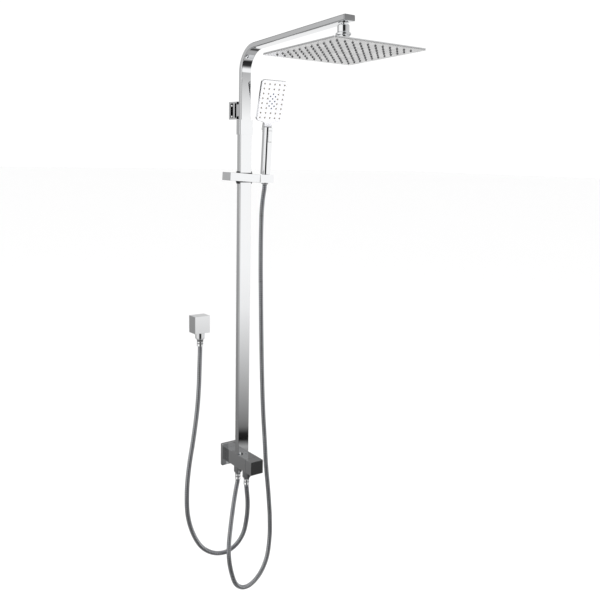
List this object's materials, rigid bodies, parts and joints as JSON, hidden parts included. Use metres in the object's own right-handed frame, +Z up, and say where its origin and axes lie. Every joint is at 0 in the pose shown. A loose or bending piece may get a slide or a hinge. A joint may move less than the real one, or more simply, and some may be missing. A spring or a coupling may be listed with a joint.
{
  "type": "rainfall shower column",
  "caption": "Exposed wall-mounted shower column with a square overhead rain head on a swan arm, a sliding hand shower, a diverter knob and flexible metal hoses.",
  "frame": {"origin": "centre of the lower wall plate's back face, on the wall", "axes": "+Z up along the riser, +Y into the wall, +X to the right when facing the wall"},
  "size_m": [0.2887, 0.579, 1.5217],
  "materials": {
    "blackPlastic": "moulded, matte",
    "blackRubber": "matte",
    "brass": "machined",
    "chrome": "mirror polished chrome plate",
    "hoseSteel": "interlocked stainless hose, semi-gloss",
    "satinSteel": "satin stainless sheet",
    "silicone": "matte silicone",
    "springSteel": "zinc plated",
    "whiteGloss": "gloss"
  },
  "bodies": {
    "column": {"lower_wall_plate": "springSteel", "lower_wall_screw_1": "springSteel", "lower_wall_screw_2": "springSteel", "lower_wall_cover": "chrome", "diverter_body": "chrome", "body_set_screw": "springSteel", "diverter_cartridge": "whiteGloss", "cartridge_retainer": "brass", "handset_outlet_nut": "chrome", "handset_outlet_washer": "blackRubber", "handset_outlet_ferrule": "chrome", "supply_inlet_nut": "chrome", "supply_inlet_washer": "blackRubber", "supply_inlet_ferrule": "chrome", "lower_tube": "chrome", "column_adapter": "brass", "column_nut": "chrome", "collar": "chrome", "collar_seal": "blackRubber", "collar_screw": "springSteel", "wall_elbow": "chrome", "elbow_hose_nut": "chrome", "elbow_hose_washer": "blackRubber", "elbow_hose_ferrule": "chrome", "handset_hose_loop": "hoseSteel", "handset_hose_leg": "hoseSteel", "supply_hose": "hoseSteel"},
    "knob": {"diverter_knob": "chrome", "diverter_spindle": "brass", "knob_grub_screw": "springSteel"},
    "arm": {"upper_arm": "chrome", "arm_end_cap": "chrome", "arm_foot_bush": "blackPlastic", "arm_o_ring": "blackRubber", "upper_bracket": "chrome", "bracket_bolt": "springSteel", "bracket_wall_plate": "springSteel", "ball_stud": "chrome", "stud_lock_nut": "brass"},
    "ball_swivel": {"upper_ball_seat": "blackPlastic"},
    "ball_tilt": {"lower_ball_seat": "blackRubber"},
    "rain_head": {"swivel_nut": "chrome", "head_boss": "chrome", "head_top_plate": "chrome", "head_face_plate": "satinSteel", "head_nozzle_mat": "silicone"},
    "slider": {"slider_body": "chrome", "slider_liner": "blackPlastic", "slider_brake_pad": "blackRubber", "slider_brake_spring": "springSteel", "holder_pivot_bolt": "springSteel", "handset_hose_upper": "hoseSteel"},
    "holder": {"handset_holder": "chrome", "handset_hose_top": "hoseSteel"},
    "hose_nut": {"hose_cone_nut": "chrome"},
    "handset": {"handset_body": "chrome", "handset_face": "whiteGloss", "handset_nozzle_mat": "silicone", "button_spring": "springSteel"},
    "button": {"spray_button": "chrome"}
  },
  "joints": [
    {"name": "diverter_turn", "type": "hinge", "parent": "column", "child": "knob", "pos_m": [0, -0.1279, 0], "axis": [0, 1, 0], "range_deg": [0, 90]},
    {"name": "column_height", "type": "slide", "parent": "column", "child": "arm", "axis": [0, 0, 1], "range_m": [-0.008, 0.14]},
    {"name": "head_swivel", "type": "hinge", "parent": "arm", "child": "ball_swivel", "pos_m": [0, -0.452, 1.11], "axis": [0, 0.0436, 0.999], "continuous": true},
    {"name": "head_tilt", "type": "hinge", "parent": "ball_swivel", "child": "ball_tilt", "pos_m": [0, -0.452, 1.11], "axis": [1, 0, 0], "range_deg": [-9, 9]},
    {"name": "head_roll", "type": "hinge", "parent": "ball_tilt", "child": "rain_head", "pos_m": [0, -0.452, 1.11], "axis": [0, 0.999, -0.0436], "range_deg": [-9, 9]},
    {"name": "slider_slide", "type": "slide", "parent": "column", "child": "slider", "axis": [0, 0, 1], "range_m": [-0.6, 0.085], "deforming": ["handset_hose_loop", "handset_hose_leg"]},
    {"name": "holder_tilt", "type": "hinge", "parent": "slider", "child": "holder", "pos_m": [0.045, -0.0644, 0.7795], "axis": [1, 0, 0], "range_deg": [-12, 30], "deforming": ["handset_hose_upper"]},
    {"name": "handset_lift", "type": "slide", "parent": "holder", "child": "hose_nut", "axis": [0, -0.0663, 0.9978], "range_m": [0, 0.03], "deforming": ["handset_hose_top"]},
    {"name": "handset_spin", "type": "hinge", "parent": "hose_nut", "child": "handset", "pos_m": [0.0666, -0.0644, 0.7795], "axis": [0, -0.0663, 0.9978], "range_deg": [-30, 150]},
    {"name": "button_push", "type": "slide", "parent": "handset", "child": "button", "axis": [0, 0.9978, 0.0663], "range_m": [0, 0.002], "stiffness_N_per_m": 1500, "springref_m": -0.001, "deforming": ["button_spring"]}
  ]
}
